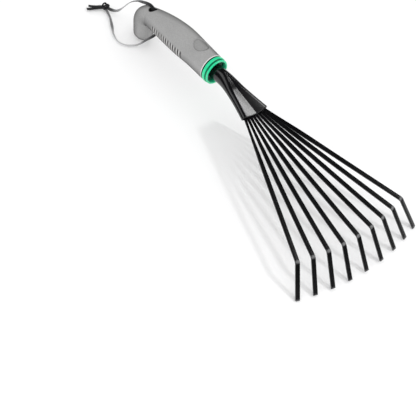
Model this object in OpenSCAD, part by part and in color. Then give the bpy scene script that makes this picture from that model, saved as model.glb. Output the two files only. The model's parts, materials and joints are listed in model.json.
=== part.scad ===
// Hand rake with a fan of flat sprung tines, a moulded grip and a hanging cord.
// The tool stands on its tine tips and on the heel of its grip.
// +X runs from the grip to the tines, +Y to the left, +Z up.
// Origin: on the ground, straight below the middle of the collar's front face.

/* [Stance] */
// Slope of the grip's axis over the ground, in degrees
stance_tilt = 8.6; // [8.2:0.1:9]
// Height of the collar's front face centre over the ground
collar_z = 54.7; // [54:0.1:55]

/* [Grip] */
// Length of the grip sleeve's straight run, collar to hang hole area
grip_run = 106; // [104:1:110]
// Rise of the sleeve's arched centre line
grip_arch = 4.9; // [3:0.1:6]
// Half height of the sleeve at the collar
grip_h_front = 15.6; // [15.2:0.1:16]
// Half height of the sleeve at the palm swell
grip_h_palm = 18; // [17:0.1:19]
// Half height of the sleeve at the heel
grip_h_heel = 11.9; // [11:0.1:12.5]
// Width of the palm section as a share of its height
grip_flat = 0.9; // [0.85:0.01:1]
// Centre line radius of the heel's downward hook
heel_r = 14; // [13.5:0.1:16]
// Half thickness of the heel, front to back
heel_h = 12.6; // [11.5:0.1:13]
// Width of the heel as a share of the sleeve's height there
heel_flat = 0.88; // [0.8:0.01:0.95]
// Length of the heel below its hook
heel_drop = 13.1; // [10:0.1:13.4]
// Rounding of the heel's end
heel_round = 8; // [6:0.5:9]
// Diameter of the hang hole
hang_d = 10; // [8:0.5:11]
// Backward lean of the hang hole's top, in degrees from the grip's normal
hang_lean = 19; // [15:1:22]
// Number of finger grooves round the underside of the grip
rib_count = 12; // [8:1:13]
// Depth of a finger groove
rib_deep = 0.7; // [0.4:0.1:0.9]
// Diameter of the thumb dish
dish_d = 18.5; // [16:0.5:20]
// Distance of the thumb dish behind the collar's front face
dish_back = 30; // [28:0.5:34]
// Depth of the thumb dish
dish_deep = 0.9; // [0.5:0.1:1.2]

/* [Collar and core] */
// Outer diameter of the collar
collar_d = 32.4; // [31.6:0.2:32.8]
// Length of the visible collar
collar_len = 8.6; // [8:0.1:10]
// Diameter of the core inside the sleeve
core_d = 22; // [21.6:0.1:23]
// Length of the core behind the collar's front face
core_len = 88; // [80:1:92]

/* [Neck] */
// Outer diameter of the steel neck tube
tube_d = 17.6; // [17:0.1:18.2]
// Wall of the steel neck tube
tube_wall = 1.2; // [1:0.1:1.2]
// Length of the tube inside the core
tube_in = 56; // [40:1:60]
// Downward bend of the neck, in degrees
neck_bend = 14.5; // [13:0.5:16]
// Distance from the collar's front face to the middle of the bend
bend_x = 18.6; // [17:0.2:20]
// Centre line radius of the neck bend
bend_r = 80; // [70:1:90]
// Distance from the bend to the ferrule's mouth
mouth_s = 50; // [49.5:0.1:50.5]
// Half width of the ferrule's mouth
mouth_w = 18.8; // [18.4:0.1:19.4]
// Drop of the mouth's ends below its middle
mouth_arch = 0.5; // [0.3:0.1:1]
// Bow of the mouth's edge: how far its middle stands ahead of its ends
mouth_bow = 2.6; // [1:0.1:3]
// Depth of the pressed valley at the mouth
valley_d = 2.6; // [2.2:0.1:2.6]
// Distance from the middle to the crest of the valley's walls at the mouth
crest_y = 15.2; // [14.5:0.1:15.6]

/* [Tines] */
// Number of tines
tine_count = 9; // [9:1:9]
// Angle between neighbouring tines, in degrees
tine_step = 6.04; // [5.9:0.02:6.2]
// Distance from the bend to the point the tines spread from
fan_s = 17.6; // [17:0.1:18]
// Length from the spread point to the bent tip, middle tine
tine_len = 208; // [200:0.5:215]
// Length of the bent tip
tip_len = 41.5; // [40:0.5:43]
// Bend between a tine and its tip, in degrees
tip_bend = 43; // [42:0.5:44]
// Width of a tine
tine_w = 5.4; // [5:0.1:5.6]
// Thickness of a tine
tine_t = 1.8; // [1.6:0.1:2]
// Centre line bend radius of the tip
tip_r = 6; // [5:0.5:8]

/* [Cord] */
// Diameter of the hanging cord
cord_d = 2.4; // [2:0.1:2.6]

/* [Hidden] */
grip_grey = [0.62, 0.62, 0.62];
core_green = [0.13, 0.80, 0.55];
steel_black = [0.07, 0.07, 0.08];
cord_black = [0.10, 0.10, 0.11];

// --- helpers -------------------------------------------------------------
function lerp(a, b, t) = a + (b - a) * t;
function clamp01(t) = t < 0 ? 0 : t > 1 ? 1 : t;
function smooth(t) = let(u = clamp01(t)) u * u * (3 - 2 * u);
function signed_pow(a, power) = (a < 0 ? -1 : 1) * pow(abs(a), power);
function unit(v) = v / norm(v);

// Closed skin through a list of rings that all have the same point count
module skin(rings) {
    count = len(rings[0]);
    last = len(rings) - 1;
    points = [for (ring = rings) each ring];
    sides = [for (i = [0:last - 1]) for (j = [0:count - 1])
        let(a = i * count + j, b = i * count + (j + 1) % count, c = a + count, d = b + count)
        each [[a, c, b], [b, c, d]]];
    caps = [[for (j = [0:count - 1]) j], [for (j = [count - 1:-1:0]) last * count + j]];
    polyhedron(points, concat(sides, caps), convexity = 6);
}

// From the grip's frame (axis along X, collar face at X = 0) to the ground frame
module stand() {
    translate([0, 0, collar_z]) rotate([0, -stance_tilt, 0]) children();
}

// From the fan's frame (spread point at the origin, +X along the middle tine) to the grip's frame
module fan() {
    translate([bend_x, 0, 0]) rotate([0, neck_bend, 0]) translate([fan_s, 0, 0]) children();
}

// --- grip sleeve, in the grip's frame --------------------------------------
grip_x0 = -collar_len - 0.5;        // sleeve's front face
grip_x1 = grip_x0 - grip_run + 1;   // start of the heel's hook
arch_x = -8;                        // front end of the centre line's arch
arch_span = 120;
palm_x = -58;                       // highest section
taper_len = 57;                     // from the palm back to the heel's height
flat_x = -12;                       // where the section starts to narrow
flat_len = 30;
ring_power = 0.94;                  // below 1 makes the section squarer than an ellipse
rib_x0 = -45.5;                     // middle of the first groove
rib_x1 = -97;                       // middle of the last groove
rib_half = 1.1;                     // half length of a groove along X, at its rim
rib_floor = 0.5;                    // the same at its floor
hook_from = 6;                      // centre line's heading below -X at the hook's start
hook_to = 98;                       // and at its end
hook_steps = 10;
cap_steps = 8;
cap_straight = 0.4;                 // share of the cap's steps before its rounding
cap_side_max = 8.6;                 // most the rounding takes off the half width
hang_c = [-108.5, 1];               // middle of the hang hole, [x, z]
hang_rim_z = 12.6;                  // start of the hole's flared upper rim, along its axis
dish_x = -dish_back;
dish_floor_r = 14.2;                // radius of the dish's floor, curved across the grip

// Height, slope, half height and width share of the straight run at x
function arch_angle(x) = 180 * (arch_x - x) / arch_span;
function arch_z(x) = grip_arch * sin(arch_angle(x));
function arch_slope(x) = -grip_arch * cos(arch_angle(x)) * PI / arch_span;
function half_height(x) = x > palm_x
    ? lerp(grip_h_front, grip_h_palm, smooth((grip_x0 - x) / (grip_x0 - palm_x)))
    : lerp(grip_h_palm, grip_h_heel, pow(clamp01((palm_x - x) / taper_len), 1.7));
function width_share(x) = lerp(1, grip_flat, smooth((flat_x - x) / flat_len));

// Ring at centre [x, z], heading below -X; the groove cuts the underside and fades up the sides
function grip_ring(centre, heading, half_h, half_w, groove = 0, count = 40) =
    [for (i = [0:count - 1])
        let(a = 360 * i / count,
            cut = groove * smooth((0.25 - sin(a)) / 0.4),
            up = (half_h - cut) * signed_pow(sin(a), ring_power),
            side = (half_w - cut) * signed_pow(cos(a), ring_power))
        [centre[0] - up * sin(heading), -side, centre[1] + up * cos(heading)]];

// Stations of the straight run: [x, groove depth]
run_stations = concat(
    [for (x = [grip_x0, -14, -20, -27, -34, -40]) [x, 0]],
    [for (i = [0:rib_count - 1])
        let(x = lerp(rib_x0, rib_x1, i / (rib_count - 1)))
        each [[x + rib_half, 0], [x + rib_floor, rib_deep],
            [x - rib_floor, rib_deep], [x - rib_half, 0]]],
    [for (x = [-102, -108, grip_x1]) [x, 0]]);

function run_ring(x, groove) =
    let(heading = x == grip_x0 ? 0 : atan(arch_slope(x)), half_h = half_height(x))
    grip_ring([x, arch_z(x)], heading, half_h, half_h * width_share(x), groove);

function hook_centre(heading) = [
    grip_x1 - heel_r * (sin(heading) - sin(hook_from)),
    arch_z(grip_x1) + heel_r * (cos(heading) - cos(hook_from))];

function hook_ring(part) =
    let(heading = lerp(hook_from, hook_to, part))
    grip_ring(hook_centre(heading), heading, lerp(grip_h_heel, heel_h, part),
        grip_h_heel * lerp(grip_flat, heel_flat, part));

// The heel below the hook: a straight drop, then a rounding that stops just short of its pole
function cap_ring(part) =
    let(rounding = clamp01((part - cap_straight) / (1 - cap_straight)),
        beyond = heel_round * sin(90 * rounding * 0.99),
        along = heel_drop * min(1, part / cap_straight) + beyond,
        inset = 1.25 * heel_round * (1 - pow(1 - pow(beyond / heel_round, 2), 0.4)))
    grip_ring(hook_centre(hook_to) - along * [cos(hook_to), sin(hook_to)], hook_to,
        heel_h - inset, grip_h_heel * heel_flat - min(inset, cap_side_max));

module hang_axis() {
    translate([hang_c[0], 0, hang_c[1]]) rotate([0, -hang_lean, 0]) children();
}

module grip_sleeve() color(grip_grey) stand() difference() {
    skin(concat(
        [for (station = run_stations) run_ring(station[0], station[1])],
        [for (i = [1:hook_steps]) hook_ring(i / hook_steps)],
        [for (i = [1:cap_steps]) cap_ring(i / cap_steps)]));
    // Seat for the core
    rotate([0, -90, 0]) cylinder(h = core_len + 0.3, d = core_d + 0.1, $fn = 72);
    // Hang hole, flared at its upper rim
    hang_axis() cylinder(h = 60, d = hang_d, center = true, $fn = 48);
    hang_axis() translate([0, 0, hang_rim_z])
        cylinder(h = 4, d1 = hang_d, d2 = hang_d + 6, $fn = 48);
    // Thumb dish: a shallow round recess whose floor is rounded like the sleeve
    translate([dish_x, 0, arch_z(dish_x) + half_height(dish_x)]) difference() {
        translate([0, 0, -6]) cylinder(h = 10, d = dish_d, $fn = 64);
        translate([-20, 0, -dish_deep - dish_floor_r]) rotate([0, 90, 0])
            cylinder(h = 40, r = dish_floor_r, $fn = 96);
    }
}

// --- green core with the collar -----------------------------------------
core_r = core_d / 2;
collar_r = collar_d / 2;
recess_deep = 6.5;      // recess in the collar's front face
bore_start = 5;         // the tube's bore starts inside the recess

// Half profile: [radius, distance behind the collar's front face]
core_profile = [
    [0, core_len], [core_r - 2, core_len], [core_r, core_len - 2],
    [core_r, collar_len + 0.4], [collar_r - 1.2, collar_len + 0.4],
    // Collar's rim
    [collar_r - 1.2, collar_len], [collar_r - 0.4, collar_len], [collar_r, collar_len - 0.4],
    [collar_r, 4.1], [collar_r - 0.4, 3.7],
    // Step and front bead
    [collar_r - 1.7, 3.7], [collar_r - 1.7, 2.9], [collar_r - 1.2, 2.6],
    [collar_r - 0.75, 2], [collar_r - 0.75, 0.7], [collar_r - 1.4, 0],
    // Front recess
    [collar_r - 2.6, 0], [collar_r - 3.1, 0.5], [collar_r - 3.9, recess_deep],
    [0, recess_deep]];

module handle_core() color(core_green) stand() rotate([0, -90, 0]) difference() {
    rotate_extrude($fn = 96) polygon(core_profile);
    translate([0, 0, bore_start])
        cylinder(h = tube_in - bore_start + 0.5, d = tube_d + 0.1, $fn = 72);
}

// --- black steel neck with its flattened ferrule -------------------------
// Distances run along the neck's centre line, 0 at the collar's face
bend_tangent = bend_r * tan(neck_bend / 2);
bend_len = bend_r * neck_bend * PI / 180;
bend_start = bend_x - bend_tangent;
mouth_end = bend_start + bend_len + mouth_s - bend_tangent;
neck_steps = 26;
neck_first = 2;         // first of the evenly spaced stations
mouth_top = 5;          // half heights at the mouth, above and below the centre line
mouth_under = 3.4;
top_start = 6;          // where the top starts to flatten, and over what length
top_len = 30;
shape_start = 8;        // the same for the underside and the section's squareness
shape_len = mouth_end - 20;
widen_start = 9;        // where the sides spread and the valley starts
bow_start = 30;         // where the rings start to bow

function neck_heading(dist) = neck_bend * clamp01((dist - bend_start) / bend_len);
function neck_centre(dist) =
    let(heading = neck_heading(dist), past = max(0, dist - bend_start - bend_len))
    dist < bend_start ? [dist, 0]
    : [bend_start + bend_r * sin(heading) + past * cos(heading),
        -bend_r * (1 - cos(heading)) - past * sin(heading)];

// The top is pressed into a valley with flat walls between two rounded crests.
// inset moves the section inward, for the inside of the wall
function neck_ring(dist, inset, count = 52) =
    let(shape = smooth((dist - shape_start) / shape_len),
        widen = clamp01((dist - widen_start) / (mouth_end - widen_start)),
        half_w = lerp(tube_d / 2, mouth_w, pow(widen, 1.35)) - inset,
        top_h = lerp(tube_d / 2, mouth_top, smooth((dist - top_start) / top_len)) - inset,
        under_h = lerp(tube_d / 2, mouth_under, shape) - inset,
        side_power = lerp(1, 0.9, shape),
        top_power = lerp(1, 0.72, shape),
        under_power = lerp(1, 0.5, shape),
        crest = max(0.3, crest_y * widen),
        crest_cos = pow(min(1, crest / half_w), 1 / side_power),
        crest_z = top_h * pow(sqrt(max(0, 1 - crest_cos * crest_cos)), top_power),
        valley_z = min(crest_z - 0.05, top_h - valley_d * pow(widen, 0.8)),
        bow = mouth_bow * smooth((dist - bow_start) / (mouth_end - bow_start)),
        centre = neck_centre(dist),
        heading = neck_heading(dist))
    [for (i = [0:count - 1])
        let(a = 360 * (i + 0.5) / count,
            y = half_w * signed_pow(cos(a), side_power),
            flat_z = sin(a) <= 0 ? -under_h * pow(-sin(a), under_power)
                : abs(y) < crest && widen > 0 ? lerp(valley_z, crest_z, abs(y) / crest)
                : top_h * pow(sin(a), top_power),
            outward = (y / mouth_w) * (y / mouth_w),
            z = flat_z - mouth_arch * shape * outward,
            back = bow * outward)
        [centre[0] + z * sin(heading) - back * cos(heading), y,
            centre[1] + z * cos(heading) + back * sin(heading)]];

function neck_rings(from, to, inset) =
    [for (dist = concat([from], [for (i = [0:neck_steps]) lerp(neck_first, to, i / neck_steps)]))
        neck_ring(dist, inset)];

module neck_ferrule() color(steel_black) stand() difference() {
    skin(neck_rings(-tube_in, mouth_end, 0));
    skin(neck_rings(-tube_in - 1, mouth_end + 0.6, tube_wall));
}

// --- tines, in the fan's frame ---------------------------------------------
mouth_r = mouth_s - fan_s - 1;      // ferrule's mouth, from the spread point
root_r = mouth_r - 10;              // tine's root, from the spread point
root_w = 2.2;                       // tine's width at its root
neck_w = 3.2;                       // and at the mouth
widen_len = 62;                     // from the mouth to the full width
roll_root = 1;                      // roll per tine off the middle, in degrees: at the mouth,
roll_peak = 8.5;                    // at its peak
roll_tip = 1.2;                     // and towards the tip
roll_r = mouth_r + 14;              // distance of the roll's peak
unroll_len = 76;
tip_steps = 5;
// Places of the straight part's stations, as shares of its length
straight_shares = [0, 0.04, 0.08, 0.14, 0.2, 0.27, 0.35, 0.44, 0.55, 0.75, 1];

// Width and inward roll of a tine at a distance from the spread point
function tine_width(dist) = dist < mouth_r
    ? lerp(root_w, neck_w, (dist - root_r) / (mouth_r - root_r))
    : lerp(neck_w, tine_w, smooth((dist - mouth_r) / widen_len));
function tine_roll(off, dist) = off * (dist < roll_r
    ? lerp(roll_root, roll_peak, smooth((dist - mouth_r) / (roll_r - mouth_r)))
    : lerp(roll_peak, roll_tip, smooth((dist - roll_r) / unroll_len)));

// Rectangular ring of a tine at a station [x, z, pitch, width, roll]
function tine_ring(station) =
    let(pitch = station[2], roll = station[4])
    [for (corner = [[-1, -1], [1, -1], [1, 1], [-1, 1]])
        let(y = corner[0] * station[3] / 2,
            z = corner[1] * tine_t / 2,
            up = y * sin(roll) + z * cos(roll))
        [station[0] + up * sin(pitch), y * cos(roll) - z * sin(roll),
            station[1] + up * cos(pitch)]];

// Tine number k, counted from the right
module tine(k) {
    off = k - (tine_count + 1) / 2;     // steps off the middle tine
    // The outer tines close up, reach further and droop a little
    angle = off * tine_step * (1 - 0.022 * abs(off));
    reach = tine_len + 0.28 * off * off;
    tip = [reach * cos(angle), reach * sin(angle), -0.2 * off * off];
    start = [0, 0.62 * off, -0.03 * off * off];
    run = tip - start;
    run_len = norm(run);
    tip_tangent = tip_r * tan(tip_bend / 2);
    bend_at = run_len - tip_tangent;
    tip_straight = tip_len - tip_tangent;
    tip_roll = tine_roll(off, run_len);
    stations = concat(
        [for (share = straight_shares)
            let(dist = lerp(root_r, bend_at, share))
            [dist, 0, 0, tine_width(dist), tine_roll(off, dist)]],
        [for (i = [1:tip_steps])
            let(pitch = tip_bend * i / tip_steps)
            [bend_at + tip_r * sin(pitch), -tip_r * (1 - cos(pitch)), pitch, tine_w, tip_roll]],
        [[bend_at + tip_r * sin(tip_bend) + tip_straight * cos(tip_bend),
            -tip_r * (1 - cos(tip_bend)) - tip_straight * sin(tip_bend),
            tip_bend, tine_w, tip_roll]]);
    color(steel_black) stand() fan() translate(start)
        rotate([0, 0, atan2(run[1], run[0])]) rotate([0, -asin(run[2] / run_len), 0])
        skin([for (station = stations) tine_ring(station)]);
}
module tine_1() tine(1);
module tine_2() tine(2);
module tine_3() tine(3);
module tine_4() tine(4);
module tine_5() tine(5);
module tine_6() tine(6);
module tine_7() tine(7);
module tine_8() tine(8);
module tine_9() tine(9);

// --- hanging cord, in the ground frame ---------------------------------------
knot_c = [-176.5, -11, 4.6];
knot_r = 4.4;
hole_lean = hang_lean + stance_tilt;
hole_dir = [-sin(hole_lean), 0, cos(hole_lean)];
hole_mid = [hang_c[0] * cos(stance_tilt) - hang_c[1] * sin(stance_tilt), 0,
    hang_c[0] * sin(stance_tilt) + hang_c[1] * cos(stance_tilt) + collar_z];
// Way points [x, y, z] of the loop
cord_way = [
    // From the knot over the heel
    knot_c, knot_c + [6, 4, -2.4], [-164, -3.4, 5], [-158, -0.5, 15], [-151, 0, 28],
    [-142, 0, 38.8], [-131, 0, 47], [-119.5, 0, 52.6],
    // Down the hang hole
    hole_mid + hole_dir * 13.5 + [-0.8, 0, 0], hole_mid + hole_dir * 6,
    hole_mid - hole_dir * 4, hole_mid - hole_dir * 13, hole_mid - hole_dir * 18 + [0, -2.5, 0],
    // Back to the knot along the ground
    [-105.5, -8, 11.4], [-109.5, -14.5, 3.6], [-113.8, -21.6, 1.4], [-119, -27.6, 1.3],
    [-127, -30.8, 1.3], [-138, -28.4, 1.3], [-150, -21.5, 1.3], [-162, -15.2, 1.5],
    knot_c + [3, -1, -2.4]];

// Catmull-Rom curve from p1 to p2
function spline(p0, p1, p2, p3, t) = 0.5 * (2 * p1 + (p2 - p0) * t
    + (2 * p0 - 5 * p1 + 4 * p2 - p3) * t * t + (3 * p1 - p0 - 3 * p2 + p3) * t * t * t);
function smooth_path(way, steps = 4) =
    let(last = len(way) - 1)
    concat([for (i = [0:last - 1]) for (k = [0:steps - 1])
        spline(way[max(0, i - 1)], way[i], way[i + 1], way[min(last, i + 2)], k / steps)],
        [way[last]]);
// Side vectors carried along the path without twist
function carry(tangents, side, i = 0) = i >= len(tangents) ? []
    : let(next = unit(side - tangents[i] * (side * tangents[i])))
        concat([next], carry(tangents, next, i + 1));

module cord_run() {
    path = smooth_path(cord_way);
    last = len(path) - 1;
    tangents = [for (i = [0:last]) unit(path[min(last, i + 1)] - path[max(0, i - 1)])];
    sides = carry(tangents, [-0.3, 1, 0]);
    skin([for (i = [0:last])
        let(up = cross(sides[i], tangents[i]))
        [for (k = [0:7])
            let(a = 45 * k + 22.5)
            path[i] + cord_d / 2 * (sides[i] * cos(a) - up * sin(a))]]);
}

// The knot: a ball of rings, slightly flattened
module knot_ball() translate(knot_c) skin([for (i = [0:12])
    let(polar = 6 + 168 * i / 12, ring_r = knot_r * sin(polar))
    [for (k = [0:15])
        [ring_r * cos(22.5 * k), ring_r * sin(22.5 * k), -0.96 * knot_r * cos(polar)]]]);

// A cut tail of flat cord at a heading, with its length and middle height
module cord_tail(heading, length, height)
    translate([knot_c[0], knot_c[1], height]) rotate([0, 0, heading])
    skin([for (x = [2, 2 + length])
        [[x, -1.6, -0.6], [x, 1.6, -0.6], [x, 1.6, 0.6], [x, -1.6, 0.6]]]);

module hanging_cord() color(cord_black) union() {
    cord_run();
    knot_ball();
    cord_tail(heading = 238, length = 18, height = 3.6);
    cord_tail(heading = 249, length = 21, height = 1.8);
}

grip_sleeve();
handle_core();
neck_ferrule();
tine_1();
tine_2();
tine_3();
tine_4();
tine_5();
tine_6();
tine_7();
tine_8();
tine_9();
hanging_cord();
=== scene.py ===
# A hand rake with a ribbed rubber grip, a green core and collar, a bent steel neck, nine
# flat tines and a hanging cord with a knot.
#
# Lengths are in mm until a mesh is made. Two frames are used:
#   grip frame: origin at the middle of the collar's face, +X along the handle's axis
#               towards the tines, +Z out of the top of the grip
#   row frame:  the grip frame tilted about Y and lifted, so that the floor is z = 0

import json
from math import acos, asin, atan, atan2, cos, pi, radians, sin, sqrt, tan

import bmesh
import bpy
import numpy as np
from mathutils import Matrix, Vector

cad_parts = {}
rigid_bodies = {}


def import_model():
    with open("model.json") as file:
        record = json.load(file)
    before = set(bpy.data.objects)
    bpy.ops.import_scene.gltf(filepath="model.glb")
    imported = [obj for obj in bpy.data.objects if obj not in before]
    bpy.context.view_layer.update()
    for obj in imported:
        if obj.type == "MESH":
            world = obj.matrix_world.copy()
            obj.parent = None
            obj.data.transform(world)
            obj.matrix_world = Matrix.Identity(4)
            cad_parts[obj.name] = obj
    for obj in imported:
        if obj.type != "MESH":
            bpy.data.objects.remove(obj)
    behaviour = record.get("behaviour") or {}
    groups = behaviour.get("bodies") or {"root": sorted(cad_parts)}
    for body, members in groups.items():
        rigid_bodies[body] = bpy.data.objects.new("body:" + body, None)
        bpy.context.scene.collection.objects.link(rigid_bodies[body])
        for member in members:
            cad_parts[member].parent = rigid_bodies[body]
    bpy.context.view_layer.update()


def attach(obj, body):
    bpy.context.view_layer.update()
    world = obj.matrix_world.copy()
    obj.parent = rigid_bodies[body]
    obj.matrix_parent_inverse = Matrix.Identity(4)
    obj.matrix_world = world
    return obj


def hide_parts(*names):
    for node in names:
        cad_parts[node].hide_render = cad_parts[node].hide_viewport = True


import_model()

scene = bpy.context.scene

# ---------------------------------------------------------------- dimensions
TILT = radians(8.6)                 # the tine end of the grip's axis is raised
ORIGIN_Z = 54.7                     # height of the grip frame's origin over the floor

FRONT_X, HEEL_X = -9.1, -114.1      # front face of the sleeve, start of the heel's hook
ARCH, ARCH_START, ARCH_SPAN = 4.9, 8, 120     # rise of the centre line, a half sine
PEAK_X, TAPER_LEN = -58, 57         # thickest section, and the taper behind it
FRONT_H, PEAK_H, HEEL_START_H = 15.6, 18.0, 11.9      # half heights of the sections
FLATNESS = 0.9                      # half width over half height
HEEL_BEND_R, HEEL_H, HEEL_FLATNESS = 14.0, 12.6, 0.88
HEEL_HEADING = 6, 98                # degrees below -X, at the hook's start and end
HEEL_DROP, HEEL_ROUND = 13.1, 8.0   # straight end of the heel, then its rounding
RIBS, RIB_FIRST_X, RIB_LAST_X, GROOVE_DEPTH = 13, -45.5, -97, 0.9
DISH_X, DISH_R, DISH_DEPTH = -30.0, 9.25, 1.0

HOLE_R, HOLE_RIM = 5.0, 1.7         # hang hole and the rounding of its rims
HOLE_LEAN = radians(19.0)
HOLE_CENTRE = np.array([-108.5, 0, 1.0])
HOLE_AXIS = np.array([-sin(HOLE_LEAN), 0, cos(HOLE_LEAN)])

CORE_R, CORE_LEN = 11.0, 88.0
TUBE_R, WALL, TUBE_IN = 8.8, 1.2, 56.0        # neck tube, and its length inside the core
BEND, BEND_X, BEND_R = radians(14.5), 18.6, 80.0      # BEND_X is where the two axes cross
MOUTH_DIST = 50.0                   # from the crossing of the axes to the mouth
MOUTH_HALF_W, MOUTH_TOP, MOUTH_BOTTOM = 18.8, 5.0, 3.4
MOUTH_ARCH, MOUTH_BOW = 0.5, 2.6    # sides of the mouth drop and step back by these
VALLEY, CREST_Y = 2.6, 15.2         # crease along the neck's top, and the crests beside it

TINE_STEP = 6.04                    # degrees
FAN_DIST = 17.6                     # from the crossing of the axes to the fan's hub
TINE_LEN, TINE_W, TINE_T = 208.0, 5.4, 1.8
TIP_LEN, TIP_BEND, TIP_R = 41.5, radians(43.0), 6.0
ROOT_W, MOUTH_TINE_W = 2.2, 3.2     # tine widths at the root and at the mouth

TO_ROW = np.array([[cos(TILT), 0, -sin(TILT)], [0, 1, 0], [sin(TILT), 0, cos(TILT)]])


def to_row_mm(points):
    """Points in the grip frame to the row frame, both in mm."""
    return np.asarray(points, float) @ TO_ROW.T + np.array([0, 0, ORIGIN_Z])


def to_row(points):
    """Points in the grip frame (mm) to the row frame (m)."""
    return to_row_mm(points) / 1000.0


def lerp(start, end, t):
    return start + (end - start) * t


def clamp01(t):
    return np.clip(t, 0.0, 1.0)


def smooth(t):
    t = clamp01(t)
    return t * t * (3 - 2 * t)


def signed_power(base, power):
    return np.sign(base) * np.abs(base) ** power


def unit(vectors):
    return vectors / np.linalg.norm(vectors, axis=-1, keepdims=True)


# ---------------------------------------------------------------- viewpoint, grip frame
VIEW_AZIMUTH = radians(41.44309539)       # from -Y towards +X
VIEW_ELEVATION = radians(45.43966714)
VIEW_ROLL = radians(-9.90252245)
# the grip frame's origin as the camera has it: to the right, down, forward
ORIGIN_IN_VIEW = np.array([10.01195715, -149.06136201, 1491.78764146])

forward = np.array([-sin(VIEW_AZIMUTH) * cos(VIEW_ELEVATION),
                    cos(VIEW_AZIMUTH) * cos(VIEW_ELEVATION),
                    -sin(VIEW_ELEVATION)])
level_right = unit(np.cross(forward, (0, 0, 1)))
level_down = np.cross(forward, level_right)
VIEW_AXES = np.stack([cos(VIEW_ROLL) * level_right + sin(VIEW_ROLL) * level_down,
                      -sin(VIEW_ROLL) * level_right + cos(VIEW_ROLL) * level_down,
                      forward])
EYE = to_row_mm(-VIEW_AXES.T @ ORIGIN_IN_VIEW)


# ---------------------------------------------------------------- mesh building
def make_mesh(name, verts, faces, *materials, sharp=None, face_materials=None):
    """Smooth-shaded object; edges over `sharp` degrees stay hard."""
    mesh = bpy.data.meshes.new(name)
    mesh.from_pydata([tuple(v) for v in verts], [], [tuple(f) for f in faces])
    mesh.validate()
    obj = bpy.data.objects.new(name, mesh)
    scene.collection.objects.link(obj)
    for material in materials:
        mesh.materials.append(material)
    if face_materials is not None:
        mesh.polygons.foreach_set("material_index", face_materials)
    mesh.polygons.foreach_set("use_smooth", [True] * len(mesh.polygons))
    if sharp:
        mesh.set_sharp_from_angle(angle=radians(sharp))
    edit = bmesh.new()
    edit.from_mesh(mesh)
    bmesh.ops.recalc_face_normals(edit, faces=edit.faces)
    edit.to_mesh(mesh)
    edit.free()
    mesh.update()
    return obj


def skin(rings, closed=False):
    """Skin over rings of equal count. Closed joins the last ring to the first;
    otherwise the two ends are capped, and the caps are the last two faces."""
    count, sides = len(rings), len(rings[0])
    faces = []
    for i in range(count if closed else count - 1):
        k = (i + 1) % count
        for j in range(sides):
            j2 = (j + 1) % sides
            faces.append((i * sides + j, i * sides + j2, k * sides + j2, k * sides + j))
    if not closed:
        faces.append(tuple(range(sides - 1, -1, -1)))
        faces.append(tuple((count - 1) * sides + j for j in range(sides)))
    return np.concatenate(rings), faces


def circle(x, radius, angles):
    """Ring about the grip's axis."""
    return np.stack([np.full(len(angles), x), radius * np.cos(angles),
                     radius * np.sin(angles)], 1)


def strip_section(width, thickness, corner, steps=4):
    """Rectangle with rounded corners, as (across, normal) points."""
    across, normal = width / 2 - corner, thickness / 2 - corner
    points = []
    for y, z, start in ((across, normal, 0), (-across, normal, 90),
                        (-across, -normal, 180), (across, -normal, 270)):
        for i in range(steps + 1):
            angle = radians(start + 90 * i / steps)
            points.append((y + corner * cos(angle), z + corner * sin(angle)))
    return np.array(points)


def add_attribute(obj, name, values):
    attribute = obj.data.attributes.new(name, "FLOAT", "POINT")
    attribute.data.foreach_set("value", np.asarray(values, np.float32))


def subtract(obj, cutter, name):
    """Cut the cutter out of the object for good, and remove the cutter."""
    modifier = obj.modifiers.new("cut", "BOOLEAN")
    modifier.operation = "DIFFERENCE"
    modifier.object = cutter
    modifier.solver = "MANIFOLD"
    bpy.context.view_layer.update()
    depsgraph = bpy.context.evaluated_depsgraph_get()
    mesh = bpy.data.meshes.new_from_object(obj.evaluated_get(depsgraph))
    mesh.name = name
    old_mesh, cutter_mesh = obj.data, cutter.data
    obj.modifiers.clear()
    obj.data = mesh
    bpy.data.meshes.remove(old_mesh)
    bpy.data.objects.remove(cutter)
    bpy.data.meshes.remove(cutter_mesh)


def register(obj, carrier, piece=None):
    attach(obj, carrier)
    if piece:
        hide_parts(piece)


# ---------------------------------------------------------------- materials
def rgba(color):
    """Opaque colour from an (r, g, b) tuple or a single grey value."""
    return (*color, 1) if isinstance(color, tuple) else (color, color, color, 1)


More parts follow.
